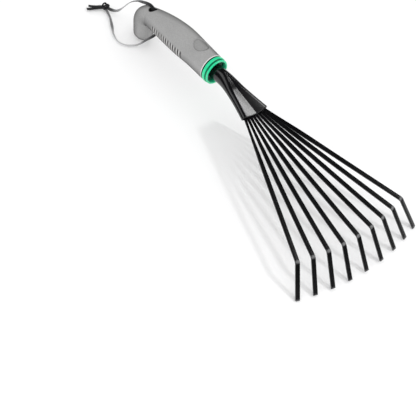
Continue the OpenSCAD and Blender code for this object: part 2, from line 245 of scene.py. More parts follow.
class Surface:
    """A Principled material, with short ways to make the nodes that feed it."""

    def __init__(self, name):
        self.material = bpy.data.materials.new(name)
        self.material.use_nodes = True
        self.tree = self.material.node_tree
        self.tree.nodes.clear()
        output = self.node("ShaderNodeOutputMaterial")
        self.bsdf = self.node("ShaderNodeBsdfPrincipled")
        self.feed(output.inputs[0], self.bsdf.outputs[0])
        self.coords = self.node("ShaderNodeTexCoord").outputs["Object"]
        self.normal = None

    def node(self, kind, **settings):
        node = self.tree.nodes.new(kind)
        for key, value in settings.items():
            setattr(node, key, value)
        return node

    def feed(self, socket, value):
        """Link an output to the socket, or set the socket to a plain value."""
        if isinstance(value, bpy.types.NodeSocket):
            self.tree.links.new(value, socket)
        else:
            socket.default_value = value

    def set(self, key, value):
        self.feed(self.bsdf.inputs[key], value)

    def noise(self, scale, detail=3, rough=0.5):
        node = self.node("ShaderNodeTexNoise")
        node.inputs["Scale"].default_value = scale
        node.inputs["Detail"].default_value = detail
        node.inputs["Roughness"].default_value = rough
        self.feed(node.inputs["Vector"], self.coords)
        return node.outputs["Fac"]

    def ramp(self, value, low, high, start=0.3, end=0.7):
        """Colour `low` up to the value `start`, blending to `high` at `end`."""
        node = self.node("ShaderNodeValToRGB")
        stops = zip((start, end), (low, high))
        for element, (position, color) in zip(node.color_ramp.elements, stops):
            element.position = position
            element.color = rgba(color)
        self.feed(node.inputs["Fac"], value)
        return node.outputs["Color"]

    def mix(self, amount, under, over):
        """Two colours; each is a socket, a tuple or a grey value."""
        node = self.node("ShaderNodeMix", data_type="RGBA")
        self.feed(node.inputs[0], amount)
        for index, color in ((6, under), (7, over)):
            is_socket = isinstance(color, bpy.types.NodeSocket)
            self.feed(node.inputs[index], color if is_socket else rgba(color))
        return node.outputs[2]

    def math(self, operation, first, second=0.0):
        node = self.node("ShaderNodeMath", operation=operation)
        self.feed(node.inputs[0], first)
        self.feed(node.inputs[1], second)
        return node.outputs[0]

    def map(self, value, low, high, start=0.3, end=0.7):
        """Number going from `low` at the value `start` to `high` at `end`."""
        node = self.node("ShaderNodeMapRange")
        self.feed(node.inputs["Value"], value)
        for key, number in (("From Min", start), ("From Max", end),
                            ("To Min", low), ("To Max", high)):
            node.inputs[key].default_value = number
        return node.outputs[0]

    def attribute(self, name):
        return self.node("ShaderNodeAttribute", attribute_name=name).outputs["Fac"]

    def bump(self, height, strength, distance):
        """Bump (distance in m) on top of the bumps made before."""
        node = self.node("ShaderNodeBump")
        node.inputs["Strength"].default_value = strength
        node.inputs["Distance"].default_value = distance
        self.feed(node.inputs["Height"], height)
        if self.normal is not None:
            self.feed(node.inputs["Normal"], self.normal)
        self.normal = node.outputs[0]
        self.set("Normal", self.normal)


def grip_rubber():
    mat = Surface("grip_rubber")
    broad = mat.noise(scale=34, rough=0.55)
    grain = mat.noise(scale=2600, detail=2, rough=0.6)
    speck = mat.noise(scale=900, detail=2, rough=0.6)
    base = mat.ramp(broad, low=(0.302, 0.301, 0.299), high=(0.344, 0.343, 0.341))
    specks = mat.ramp(speck, low=(0.24, 0.24, 0.239), high=(0.41, 0.409, 0.407),
                      start=0.35, end=0.65)
    base = mat.mix(0.30, base, specks)
    # painted shade in the grooves and the dish, painted highlight on the front edge and the rib
    # tops, then painted shade in the recesses
    base = mat.mix(mat.attribute("groove"), base, 0.020)
    base = mat.mix(mat.attribute("lip"), base, (0.80, 0.78, 0.77))
    base = mat.mix(mat.attribute("shade"), base, 0.010)
    # painted shade, darker where the surface turns away from the viewer
    weight = mat.node("ShaderNodeLayerWeight")
    weight.inputs["Blend"].default_value = 0.5
    turned_away_shade = mat.map(weight.outputs["Facing"], low=0.0, high=0.84, start=0.38, end=0.84)
    mat.set("Base Color", mat.mix(turned_away_shade, base, 0.035))
    mat.set("Roughness", mat.map(mat.noise(scale=700), low=0.50, high=0.64))
    mat.set("Specular IOR Level", 0.42)
    mat.bump(broad, strength=0.10, distance=0.0006)
    mat.bump(grain, strength=0.28, distance=0.00010)
    mat.bump(speck, strength=0.12, distance=0.00018)
    return mat.material


def core_plastic():
    mat = Surface("core_plastic")
    cloud = mat.noise(scale=60)
    fine = mat.noise(scale=1500, detail=2, rough=0.6)
    base = mat.ramp(cloud, low=(0.014, 0.62, 0.29), high=(0.024, 0.72, 0.35))
    # painted shade in the bore, the cup and the gaps beside the band
    mat.set("Base Color", mat.mix(mat.attribute("deep"), base, (0.0, 0.028, 0.016)))
    mat.set("Roughness", mat.map(fine, low=0.24, high=0.36))
    mat.set("Coat Weight", 0.35)
    mat.set("Coat Roughness", 0.12)
    mat.set("Subsurface Weight", 0.06)
    mat.set("Subsurface Radius", (0.001, 0.002, 0.0012))
    mat.bump(fine, strength=0.10, distance=0.00006)
    mat.bump(cloud, strength=0.06, distance=0.0004)
    return mat.material


def painted_steel(name, roughness, patch_scale, tint):
    """Black paint that thins to bare grey metal where wear is high;
    across the tines' bends that grey is a painted highlight.
    """
    mat = Surface(name)
    peel = mat.noise(scale=900, rough=0.55)
    fine = mat.noise(scale=4200, detail=2, rough=0.6)
    patch = mat.noise(scale=patch_scale, detail=4, rough=0.6)
    base = mat.ramp(patch, low=tint, high=tuple(c * 1.55 for c in tint))
    worn_and_highlight = mat.math("MULTIPLY", mat.attribute("wear"),
                    mat.ramp(mat.noise(scale=1400, detail=4, rough=0.7),
                             low=0.0, high=1.0, start=0.42, end=0.62))
    mat.set("Base Color", mat.mix(worn_and_highlight, base, (0.11, 0.11, 0.115)))
    low, high = roughness
    mat.set("Roughness", mat.math("ADD", mat.map(patch, low=low, high=high),
                                  mat.math("MULTIPLY", mat.attribute("wear"), 0.10)))
    mat.set("Specular IOR Level", 0.55)
    mat.set("Coat Weight", 0.25)
    mat.set("Coat Roughness", 0.12)
    mat.bump(peel, strength=0.05, distance=0.00010)
    mat.bump(fine, strength=0.08, distance=0.00003)
    return mat.material


def cut_steel():
    """Bare cut end of a tine, a little lighter than the paint."""
    mat = Surface("painted_steel_cut")
    scratch = mat.noise(scale=3000, rough=0.6)
    mat.set("Base Color", mat.ramp(scratch, low=(0.02, 0.02, 0.022), high=(0.05, 0.05, 0.052)))
    mat.set("Roughness", mat.map(scratch, low=0.4, high=0.6))
    mat.bump(scratch, strength=0.3, distance=0.00006)
    return mat.material


def cord_fabric():
    """Flat braid, drawn from the attributes strap_u (mm along) and strap_v (mm across)."""
    mat = Surface("cord_fabric")
    along, across = mat.attribute("strap_u"), mat.attribute("strap_v")
    yarn_rate, rib_rate = 5.2, 9.5            # radians per mm
    yarn_height, rib_height = 0.9, 0.55

    def wave(phase):
        return mat.math("ADD", mat.math("MULTIPLY", mat.math("SINE", phase), 0.5), 0.5)

    rib = wave(mat.math("MULTIPLY", across, rib_rate))
    # diagonal yarns, mirrored about the strap's middle
    yarn = wave(mat.math("ADD", mat.math("MULTIPLY", along, yarn_rate),
                         mat.math("MULTIPLY", mat.math("ABSOLUTE", across), yarn_rate)))
    braid = mat.math("MAXIMUM", mat.math("MULTIPLY", yarn, yarn_height),
                     mat.math("MULTIPLY", rib, rib_height))
    fuzz = mat.noise(scale=5200, rough=0.7)
    base = mat.mix(braid, (0.004, 0.004, 0.005), (0.022, 0.022, 0.024))
    base = mat.mix(mat.ramp(fuzz, low=0.0, high=0.4, start=0.45, end=0.8),
                   base, (0.03, 0.03, 0.033))
    # painted sheen: paler where the strap's flat face turns to the light
    sheen_colour = mat.mix(braid, (0.42, 0.42, 0.425), (0.74, 0.74, 0.745))
    mat.set("Base Color", mat.mix(mat.attribute("pale"), base, sheen_colour))
    mat.set("Roughness", mat.map(fuzz, low=0.5, high=0.72))
    mat.set("Sheen Weight", 0.12)
    mat.set("Sheen Roughness", 0.4)
    mat.set("Sheen Tint", (0.8, 0.8, 0.85, 1))
    mat.bump(braid, strength=0.65, distance=0.00022)
    mat.bump(fuzz, strength=0.35, distance=0.00008)
    return mat.material


def pale_floor():
    mat = Surface("pale_floor")
    cloud = mat.noise(scale=3.0, detail=2)
    mat.set("Base Color", mat.ramp(cloud, low=(0.905, 0.905, 0.907), high=(0.925, 0.925, 0.927)))
    mat.set("Roughness", 0.9)
    mat.set("Specular IOR Level", 0.05)
    return mat.material


RUBBER = grip_rubber()
GREEN = core_plastic()
STEEL = painted_steel("painted_steel", roughness=(0.17, 0.22), patch_scale=40,
                      tint=(0.0026, 0.0026, 0.0031))
CUT_STEEL = cut_steel()
CORD = cord_fabric()
FLOOR = pale_floor()
TINE_STEEL = painted_steel("painted_steel_tine", roughness=(0.19, 0.25), patch_scale=47,
                           tint=(0.0024, 0.0024, 0.0029))

# ---------------------------------------------------------------- grip sleeve
GRIP_SIDES = 240
GRIP_ANGLES = np.arange(GRIP_SIDES) * 2 * pi / GRIP_SIDES
SQUARENESS = 0.94                   # power of the section's sine and cosine
# 1 on the lower side of a section, fading to 0 just above its middle
UNDERSIDE = smooth((0.13 - np.sin(GRIP_ANGLES)) / 0.22)


def arch_z(x):
    return ARCH * np.sin(np.pi * (-x - ARCH_START) / ARCH_SPAN)


def arch_slope(x):
    return -ARCH * np.cos(np.pi * (-x - ARCH_START) / ARCH_SPAN) * pi / ARCH_SPAN


def half_height(x):
    if x > PEAK_X:
        return lerp(FRONT_H, PEAK_H, smooth((FRONT_X - x) / (FRONT_X - PEAK_X)))
    return PEAK_H - (PEAK_H - HEEL_START_H) * clamp01((PEAK_X - x) / TAPER_LEN) ** 1.7


def flatness(x):
    return lerp(1, FLATNESS, smooth((-x - 12) / 30))


def heel_heading(t):
    return radians(lerp(*HEEL_HEADING, t))


def heel_centre(t):
    """(x, z) of the hook's centre line, t from 0 to 1."""
    heading, start = heel_heading(t), heel_heading(0)
    return np.array([HEEL_X - HEEL_BEND_R * (sin(heading) - sin(start)),
                     arch_z(HEEL_X) + HEEL_BEND_R * (cos(heading) - cos(start))])


def groove_at(x):
    """Depth of the grooves from 0 to 1."""
    depth = 0.0
    for i in range(RIBS):
        middle = lerp(RIB_FIRST_X, RIB_LAST_X, i / (RIBS - 1))
        depth = max(depth, 1 - float(smooth((abs(x - middle) - 0.60) / 0.80)))
    return depth


def rib_top(x):
    """1 on the tops between two grooves, which carry a painted highlight."""
    if not RIB_LAST_X - 1.5 < x < RIB_FIRST_X + 1.5:
        return 0.0
    return float(smooth((0.35 - groove_at(x)) / 0.35))


def grip_ring(centre, heading, half_h, half_w, groove=0.0):
    """Section at the (x, z) centre; the groove is cut into its underside."""
    up = (half_h - groove * UNDERSIDE) * signed_power(np.sin(GRIP_ANGLES), SQUARENESS)
    y = (half_w - groove * UNDERSIDE) * signed_power(np.cos(GRIP_ANGLES), SQUARENESS)
    return np.stack([centre[0] - up * sin(heading), y, centre[1] + up * cos(heading)], 1)


def sleeve_stations():
    """x of the sections from the front lip to the hook, closer at the dish and ribs."""
    stations = [FRONT_X - 1.0, FRONT_X - 1.3, FRONT_X - 1.7]
    x = FRONT_X - 2.1
    while x > HEEL_X:
        stations.append(x)
        x -= 0.30 if (-41 < x < -19 or x < -44) and x > -99 else 0.5
    return stations + [HEEL_X]


def sleeve_rings():
    """Points of the sleeve from its bore to its heel, with painted groove shade and painted
    highlights.
    """
    rings, groove_shades, painted_highlights = [], [], []

    def add(ring, groove=0.0, lip=0.0):
        rings.append(ring)
        groove_shades.append(np.zeros(GRIP_SIDES) + groove)
        painted_highlights.append(np.zeros(GRIP_SIDES) + lip)

    # bore for the core, from its blind end to the front
    bore = CORE_R + 0.06
    for x in (-CORE_LEN - 0.3, -70, -50, -30, -12, FRONT_X - 0.5):
        add(circle(x, bore, GRIP_ANGLES))
    # front face and its rounded lip
    # painted shade on the front face and on the inner part of its rounded edge
    add(circle(FRONT_X, bore + 0.3, GRIP_ANGLES), groove=1.0)
    add(circle(FRONT_X + 0.02, 14.6, GRIP_ANGLES), groove=1.0)
    lip_r = 0.5
    for angle in range(0, 91, 15):
        add(circle(FRONT_X - lip_r + lip_r * cos(radians(angle)),
                   half_height(FRONT_X) - lip_r + lip_r * sin(radians(angle)), GRIP_ANGLES),
            groove=max(0.0, 1 - angle / 40), lip=1.0 if angle >= 60 else 0.0)
    # body
    for i, x in enumerate(sleeve_stations()):
        groove = groove_at(x)
        heading = atan(arch_slope(x)) * float(smooth((FRONT_X - x) / 6))
        height = half_height(x)
        # painted highlight along the front edge of the grip
        front_edge_highlight = (0.7, 0.2)[i] if i < 2 else 0.0
        # the grooves are cut into the shape and also carry painted shade on the underside
        add(grip_ring((x, arch_z(x)), heading, height, height * flatness(x),
                      GROOVE_DEPTH * groove),
            groove=groove * UNDERSIDE, lip=front_edge_highlight + 0.60 * rib_top(x) * UNDERSIDE)
    # hook of the heel
    steps = 56
    for i in range(1, steps + 1):
        t = i / steps
        add(grip_ring(heel_centre(t), heel_heading(t), lerp(HEEL_START_H, HEEL_H, t),
                      HEEL_START_H * lerp(FLATNESS, HEEL_FLATNESS, t)))
    # straight end of the heel, then its rounding
    heading = heel_heading(1)
    direction = np.array([-cos(heading), -sin(heading)])
    steps, straight_part = 34, 0.4
    for i in range(1, steps + 1):
        part = i / steps
        if part < straight_part:
            along, inset = part / straight_part * HEEL_DROP, 0.0
        else:
            turn = radians(90 * (part - straight_part) / 0.6 * 0.995)
            along = HEEL_DROP + HEEL_ROUND * sin(turn)
            size = max(0.0, 1 - ((along - HEEL_DROP) / HEEL_ROUND) ** 2) ** 0.4
            inset = HEEL_ROUND * (1 - size) * 1.25
        add(grip_ring(heel_centre(1) + direction * along, heading, HEEL_H - inset,
                      HEEL_START_H * HEEL_FLATNESS - min(inset, 8.6)))
    return rings, np.concatenate(groove_shades), np.concatenate(painted_highlights)


def press_dish(points, groove):
    """Shallow round dish with a faint raised ring, on the top of the grip."""
    rho = np.hypot(points[:, 0] - DISH_X, points[:, 1])
    # the outer skin only, not the bore
    top = (points[:, 2] > np.maximum(arch_z(points[:, 0]), 11.6)) & (points[:, 0] < -14)
    pressed = smooth((DISH_R - rho) / 1.3) * top
    points[:, 2] -= pressed * (DISH_DEPTH + 0.25 * (points[:, 1] / DISH_R) ** 2)
    points[:, 2] += top * 0.16 * np.exp(-((rho - DISH_R - 0.5) / 0.55) ** 2)
    # painted shade: a dark ring just inside the dish's rim and a light shade over its floor
    groove = np.maximum(groove, top * 0.26 * np.exp(-((rho - DISH_R + 1.0) / 0.9) ** 2))
    return np.maximum(groove, top * 0.14 * smooth((DISH_R - rho) / 1.0))


def hole_distance(points):
    """Distance along the hang hole's axis, and from it."""
    offset = points - HOLE_CENTRE
    along = offset @ HOLE_AXIS
    return along, np.linalg.norm(offset - along[:, None] * HOLE_AXIS, axis=1)


def round_hole_rims(points, groove):
    along, radius = hole_distance(points)
    near = points[:, 0] < -95
    edge = clamp01((HOLE_R + HOLE_RIM - radius) / HOLE_RIM)
    sink = HOLE_RIM * (1 - np.sqrt(1 - edge ** 2))
    points -= (np.sign(along) * sink * near)[:, None] * HOLE_AXIS
    # painted shade around the hang hole's rims
    return np.maximum(groove, 0.35 * smooth((HOLE_R + 0.9 - radius) / 1.2) * near)


def cut_hang_hole(grip):
    """Drill the hang hole and put its bore in shade."""
    sides = 72
    spoke = np.array([cos(HOLE_LEAN), 0, sin(HOLE_LEAN)])
    across = np.array([0, 1, 0])
    rings = []
    for along in (-40, 40):
        rings.append(np.array([
            HOLE_CENTRE + HOLE_AXIS * along
            + HOLE_R * (spoke * cos(2 * pi * i / sides) + across * sin(2 * pi * i / sides))
            for i in range(sides)]))
    verts, faces = skin(rings)
    subtract(grip, make_mesh("hole_cutter", to_row(verts), faces, RUBBER), "grip_shell")

    mesh = grip.data
    coords = np.empty(len(mesh.vertices) * 3, np.float32)
    mesh.vertices.foreach_get("co", coords)
    coords = coords.reshape(-1, 3)
    radius = hole_distance((coords * 1000 - [0, 0, ORIGIN_Z]) @ TO_ROW)[1]
    in_bore = (radius < HOLE_R + 0.06) & (coords[:, 0] < -0.09)
    shade = np.empty(len(mesh.vertices), np.float32)
    mesh.attributes["shade"].data.foreach_get("value", shade)
    shade = np.maximum(shade, in_bore.astype(np.float32))
    mesh.attributes["shade"].data.foreach_set("value", shade)
    mesh.polygons.foreach_set("use_smooth", [True] * len(mesh.polygons))
    mesh.set_sharp_from_angle(angle=radians(50))


def build_grip():
    rings, groove, lip = sleeve_rings()
    points, faces = skin(rings)
    groove = press_dish(points, groove)
    groove = round_hole_rims(points, groove)
    grip = make_mesh("grip_shell", to_row(points), faces, RUBBER)
    # painted shade in the grooves, the dish and around the hang hole
    add_attribute(grip, "groove", groove)
    add_attribute(grip, "lip", lip)
    from_axis = np.hypot(points[:, 1], points[:, 2])
    front_face = (points[:, 0] > FRONT_X - 0.28) & (from_axis < FRONT_H - 0.12)
    add_attribute(grip, "shade", front_face.astype(float))
    cut_hang_hole(grip)
    return grip


register(build_grip(), "rake", "grip_sleeve")

# ---------------------------------------------------------------- green core and collar
ROUND_SIDES = 224                   # points around the core and around the neck


def arc(radius, depth, size, start, end, steps):
    """Arc in the (radius, depth) plane about a centre, angles in degrees."""
    angles = [radians(lerp(start, end, i / steps)) for i in range(steps + 1)]
    return [(radius + size * cos(a), depth + size * sin(a)) for a in angles]


# (how much painted shade, [(radius, depth behind the collar's face), ...]), from the bore
# round the outside and back into the cup
CORE_PROFILE = [
    (1, [(TUBE_R + 0.05, TUBE_IN + 0.5), (0.02, TUBE_IN + 0.5)]),
    (0, [(0.02, CORE_LEN), (CORE_R - 2, CORE_LEN), (CORE_R, CORE_LEN - 2),
         (CORE_R, 40), (CORE_R, 9.3)]),
    (1, [(CORE_R + 0.1, 9.0), (13.8, 9.0), (14.0, 8.85), (14.0, 8.1), (14.3, 7.7),
         (15.0, 7.62)]),
    (0, arc(15.6, 7.0, 0.55, 80, 0, 5)),              # back edge of the band
    (0, [(16.16, 6.2), (16.16, 5.2)]),
    (0, arc(15.6, 4.5, 0.55, 0, -80, 5)),             # front edge of the band
    (0.75, [(15.0, 3.92), (14.2, 3.8), (13.95, 3.5), (13.95, 2.75)]),
    (0.3, [(14.3, 2.35)]),
    (0, arc(14.45, 1.08, 1.08, 75, -90, 14)),         # rounded flange lip
    (0, [(14.0, 0.0)]),
    (0, arc(13.75, 0.55, 0.5, -90, -170, 6)),         # inner edge of the lip
    (0.15, [(13.0, 2.2)]),
    (0.45, [(12.8, 3.4)]),
    (0.85, [(12.55, 4.8), (12.3, 5.9)]),
    (1, [(11.9, 6.4), (11.2, 6.55), (9.4, 6.6), (TUBE_R + 0.05, 6.8)]),
]


def build_core():
    angles = np.arange(ROUND_SIDES) * 2 * pi / ROUND_SIDES
    rings, deep = [], []
    for darkness, points in CORE_PROFILE:
        for radius, depth in points:
            rings.append(circle(-depth, radius, angles))
            deep.append(darkness)
    verts, faces = skin(rings, closed=True)
    core = make_mesh("core_collar", to_row(verts), faces, GREEN, sharp=40)
    add_attribute(core, "deep", np.repeat(deep, ROUND_SIDES))
    return core


register(build_core(), "rake", "handle_core")

# ---------------------------------------------------------------- neck and ferrule
# Distances along the neck's centre line, from the collar's face
BEND_TANGENT = BEND_R * tan(BEND / 2)
BEND_LEN = BEND_R * BEND
BEND_START = BEND_X - BEND_TANGENT
NECK_END = BEND_START + BEND_LEN + MOUTH_DIST - BEND_TANGENT

# Rolled lip at the mouth: inset, distance from the mouth, wear
MOUTH_LIP = [
    (0.0, -0.75, 0.10), (0.02, -0.42, 0.3), (0.10, -0.16, 0.6), (0.30, -0.03, 0.8),
    (0.60, 0.0, 0.6), (0.90, -0.03, 0.4), (1.10, -0.16, 0.2), (1.18, -0.45, 0.0),
]


def neck_heading(along):
    return BEND * float(clamp01((along - BEND_START) / BEND_LEN))


def neck_centre(along):
    if along < BEND_START:
        return np.array([along, 0.0])
    heading = neck_heading(along)
    past = max(0.0, along - BEND_START - BEND_LEN)
    return np.array([BEND_START + BEND_R * sin(heading) + past * cos(heading),
                     -BEND_R * (1 - cos(heading)) - past * sin(heading)])


def soft_min(first, second, corner):
    """Smaller of the two, with a rounded corner where they cross."""
    return 0.5 * (first + second - np.sqrt((first - second) ** 2 + corner * corner))


def neck_ring(along, inset):
    """Section that goes from a round tube to a wide mouth with a creased top."""
    eased = float(smooth((along - 8) / (NECK_END - 20)))
    even = float(clamp01((along - 9) / (NECK_END - 9)))
    half_w = lerp(TUBE_R, MOUTH_HALF_W, even ** 1.35) - inset
    top = lerp(TUBE_R, MOUTH_TOP, float(smooth((along - 6) / 30))) - inset
    bottom = lerp(TUBE_R, MOUTH_BOTTOM, eased) - inset
    z_power, y_power = lerp(1, 0.72, eased), lerp(1, 0.9, eased)
    crest_y = max(0.3, CREST_Y * even)
    crest_cos = min(1.0, crest_y / half_w) ** (1 / y_power)
    crest_z = top * sqrt(max(0.0, 1 - crest_cos * crest_cos)) ** z_power
    crease_z = min(crest_z - 0.05, top - VALLEY * even ** 0.8)

    # points follow the crests and the crease, so their lines stay clean along the neck
    eighth = ROUND_SIDES // 8
    flank = (np.arange(eighth) + 0.5) / eighth * acos(min(1.0, crest_cos))
    valley_y = crest_y * (1 - np.arange(eighth) / eighth)
    valley = np.arccos(np.clip((valley_y / half_w) ** (1 / y_power), 0, 1))
    quarter = np.concatenate([flank, valley])
    lower = pi + (np.arange(ROUND_SIDES // 2) + 0.5) * 2 * pi / ROUND_SIDES
    angles = np.concatenate([quarter, pi - quarter[::-1], lower])

    y = half_w * signed_power(np.cos(angles), y_power)
    height = np.abs(np.sin(angles))
    dome = top * height ** z_power
    if even > 0:
        # flat valley walls that run from the crease up to the rounded crests
        wall = crease_z + (crest_z - crease_z) * np.sqrt(y * y + 0.3 * 0.3) / crest_y
        dome = soft_min(dome, wall, 0.22 * even)
    z = np.where(angles < pi, dome, -bottom * height ** lerp(1, 0.5, eased))
    sideways = (y / MOUTH_HALF_W) ** 2
    z = z - MOUTH_ARCH * eased * sideways
    back = MOUTH_BOW * float(smooth((along - 30) / (NECK_END - 30))) * sideways
    centre, heading = neck_centre(along), neck_heading(along)
    return np.stack([centre[0] + z * sin(heading) - back * cos(heading), y,
                     centre[1] + z * cos(heading) + back * sin(heading)], 1)


def build_neck():
    stations = [-TUBE_IN, *np.linspace(-50, 2, 8), *np.linspace(3, NECK_END - 1.4, 86)]
    rings = [neck_ring(along, 0) for along in stations]
    rings += [neck_ring(NECK_END + offset, inset) for inset, offset, _ in MOUTH_LIP]
    inside = [neck_ring(along, WALL) for along in reversed(stations[:-1])]
    wear = [0.0] * len(stations) + [row[2] for row in MOUTH_LIP] + [0.0] * len(inside)
    verts, faces = skin(rings + inside, closed=True)
    neck = make_mesh("neck_ferrule_steel", to_row(verts), faces, STEEL, sharp=60)
    add_attribute(neck, "wear", np.repeat(wear, ROUND_SIDES))
    return neck


register(build_neck(), "rake", "neck_ferrule")

# ---------------------------------------------------------------- tines
# Distances from the fan's hub; the roots lie inside the mouth
ROOT_DIST = MOUTH_DIST - FAN_DIST - 11
TINE_MOUTH_DIST = MOUTH_DIST - FAN_DIST - 1
ROLL_START, ROLL_MOST, ROLL_END = 1, 8.5, 1.2         # degrees of roll per tine from the middle
ROLL_RISE, ROLL_FALL = 14, 76                         # lengths over which the roll changes


def fan_to_grip(points):
    """From the fan's frame, along the bent neck, to the grip frame."""
    x, y, z = (points + np.array([FAN_DIST, 0, 0])).T
    return np.stack([x * cos(BEND) + z * sin(BEND) + BEND_X, y,
                     -x * sin(BEND) + z * cos(BEND)], 1)


def tine_width(dist):
    past = dist - TINE_MOUTH_DIST
    if past < 0:
        return lerp(ROOT_W, MOUTH_TINE_W, (dist - ROOT_DIST) / (TINE_MOUTH_DIST - ROOT_DIST))
    return lerp(MOUTH_TINE_W, TINE_W, float(smooth(past / 62)))


def tine_roll(side, dist):
    past = dist - TINE_MOUTH_DIST
    if past < ROLL_RISE:
        roll = lerp(ROLL_START, ROLL_MOST, float(smooth(past / ROLL_RISE)))
    else:
        roll = lerp(ROLL_MOST, ROLL_END, float(smooth((past - ROLL_RISE) / ROLL_FALL)))
    return radians(side * roll)


def tine_stations(side, end):
    """Rows of distance, height, pitch, width, roll, inset, bare metal and painted highlight;
    `end` is the distance at which the tine and its tip would meet if the bend were sharp."""
    tangent = TIP_R * tan(TIP_BEND / 2)
    bend_at = end - tangent
    stations = []
    for t in np.concatenate([np.linspace(0, 0.35, 30), np.linspace(0.37, 1, 24)]):
        dist = lerp(ROOT_DIST, bend_at, t)
        stations.append((dist, 0.0, 0.0, tine_width(dist), tine_roll(side, dist), 0.0, 0.0))

    roll = tine_roll(side, end)

    def add(pitch, straight, inset, wear):
        stations.append((bend_at + TIP_R * sin(pitch) + straight * cos(pitch),
                         -TIP_R * (1 - cos(pitch)) - straight * sin(pitch),
                         pitch, TINE_W, roll, inset, wear))

    steps = 14
    for i in range(1, steps + 1):
        # bare grey across the bend, a painted highlight
        add(TIP_BEND * i / steps, 0.0, 0.0, sin(pi * i / steps))
    tip = TIP_LEN - tangent
    for part in (0.06, 0.25, 0.5, 0.75, 0.93):
        add(TIP_BEND, part * tip, 0.0, 0.12 * part)
    for short, inset in ((0.30, 0.0), (0.08, 0.09), (0.0, 0.30)):     # rounded cut end
        add(TIP_BEND, tip - short, inset, 0.7)
    return stations


def build_tine(number):
    side = number - 5                         # 0 for the middle tine
    angle = radians(side * TINE_STEP * (1 - 0.022 * abs(side)))
    reach = TINE_LEN + 0.28 * side * side
    end = np.array([reach * cos(angle), reach * sin(angle), -0.2 * side * side])
    start = np.array([0, 0.62 * side, -0.03 * side * side])
    run = end - start
    length = np.linalg.norm(run)

    rings, wear = [], []
    for dist, height, pitch, width, roll, inset, worn_and_highlight in tine_stations(side, length):
        y, z = strip_section(width - 2 * inset, TINE_T - 2 * inset,
                             0.42 if width > 3 else 0.36).T
        across, normal = y * cos(roll) - z * sin(roll), y * sin(roll) + z * cos(roll)
        rings.append(np.stack([dist + normal * sin(pitch), across,
                               height + normal * cos(pitch)], 1))
        wear.append(worn_and_highlight)
    verts, faces = skin(rings)

    yaw, rise = atan2(run[1], run[0]), asin(run[2] / length)
    lift = np.array([[cos(rise), 0, -sin(rise)], [0, 1, 0], [sin(rise), 0, cos(rise)]])
    spread = np.array([[cos(yaw), -sin(yaw), 0], [sin(yaw), cos(yaw), 0], [0, 0, 1]])
    verts = (verts @ lift.T) @ spread.T + start
    tine = make_mesh("tine_strip_%d" % number, to_row(fan_to_grip(verts)), faces,
                     TINE_STEEL, CUT_STEEL, sharp=45,
                     face_materials=[0] * (len(faces) - 2) + [1, 1])
    add_attribute(tine, "wear", np.repeat(wear, len(rings[0])))
    return tine


for number in range(1, 10):
    register(build_tine(number), "rake", "tine_%d" % number)

# ---------------------------------------------------------------- hanging cord, row frame
STRAP_W = 4.0
KNOT = np.array([-176.5, -11.0, 4.6])
HOLE_MID = to_row_mm(HOLE_CENTRE)
HOLE_UP = TO_ROW @ HOLE_AXIS

# Way points of the loop from the knot, up through the hang hole and back along the floor:
# place, turn of the strap in degrees (0 shows its wide face to the viewer, 90 its edge),
# how much painted sheen lightens it
LOOP = [
    (KNOT + [1.5, 0.8, -0.8], 40, 0),
    (KNOT + [6, 4, -2.2], 30, 0.1),
    ((-164, -3.4, 5), 50, 0.5),
    ((-158, -0.5, 15), 82, 0.75),
    ((-151, 0, 28), 88, 0.65),
    ((-142, 0, 38.8), 74, 0.35),
    ((-131, 0, 47), 35, 0.1),
    ((-119.5, 0, 52.6), 12, 0),
    (HOLE_MID + HOLE_UP * 13.5 + [0.7, 0, 0], 8, 0),
    (HOLE_MID + HOLE_UP * 6 + [1.7, 0, 0], 10, 0),
    (HOLE_MID - HOLE_UP * 4 + [1.7, 0, 0], 10, 0),
    (HOLE_MID - HOLE_UP * 13 + [0.6, 0, 0], 20, 0),
    (HOLE_MID - HOLE_UP * 18 + [0, -2.5, 0], 40, 0),
    ((-105.5, -8, 11.4), 60, 0.2),
    ((-109.5, -14.5, 3.8), 70, 0.75),
    ((-113.8, -21.6, 2.0), 72, 0.9),
    ((-119, -27.6, 1.8), 80, 0.9),
    ((-127, -30.8, 1.8), 86, 0.85),
    ((-138, -28.4, 1.8), 70, 0.7),
    ((-150, -21.5, 1.8), 48, 0.25),
    ((-162, -15.2, 1.8), 66, 0.3),
    (KNOT + [3, -1, -2.4], 50, 0.3),
    (KNOT + [0.5, 0, -1.0], 50, 0),
]

# Cut tails: name, direction in degrees from +X, length, height, sideways bow
TAILS = [
    ("cord_tail_upper", 240, 19.5, 4.4, 0.5),
    ("cord_tail_lower", 248, 21.5, 2.2, -0.4),
]


def catmull_rom(points, values, steps):
    """Spline through the points; the values are eased from point to point."""
    path, carried = [], []
    last = len(points) - 1
    for i in range(last):
        p0, p1, p2, p3 = points[max(0, i - 1)], points[i], points[i + 1], points[min(last, i + 2)]
        for step in range(steps):
            t = step / steps
            path.append(0.5 * (2 * p1 + (p2 - p0) * t + (2 * p0 - 5 * p1 + 4 * p2 - p3) * t * t
                               + (3 * p1 - p0 - 3 * p2 + p3) * t ** 3))
            carried.append(lerp(values[i], values[i + 1], float(smooth(t))))
    return np.array(path + [points[-1]]), np.array(carried + [values[-1]])


def tangents(path):
    """Unit directions along an open path."""
    padded = np.concatenate([path[:1], path, path[-1:]])
    return unit(padded[2:] - padded[:-2])


def braid_section(thickness):
    """Strap section, a little thinner along its middle."""
    section = strip_section(STRAP_W, thickness, corner=0.44, steps=3)
    section[:, 1] *= 1 - 0.14 * (1 - (2 * section[:, 0] / STRAP_W) ** 2)
    return section


def sweep_strap(name, path, across, normal, section, closed=False):
    rings = [point + np.outer(section[:, 0], wide) + np.outer(section[:, 1], thick)
             for point, wide, thick in zip(path, across, normal)]
    verts, faces = skin(rings, closed)
    strap = make_mesh(name, verts / 1000.0, faces, CORD)
    steps = np.linalg.norm(np.diff(path, axis=0), axis=1)
    along = np.concatenate([[0], np.cumsum(steps)])
    add_attribute(strap, "strap_u", np.repeat(along, len(section)))
    add_attribute(strap, "strap_v", np.tile(section[:, 0], len(path)))
    return strap


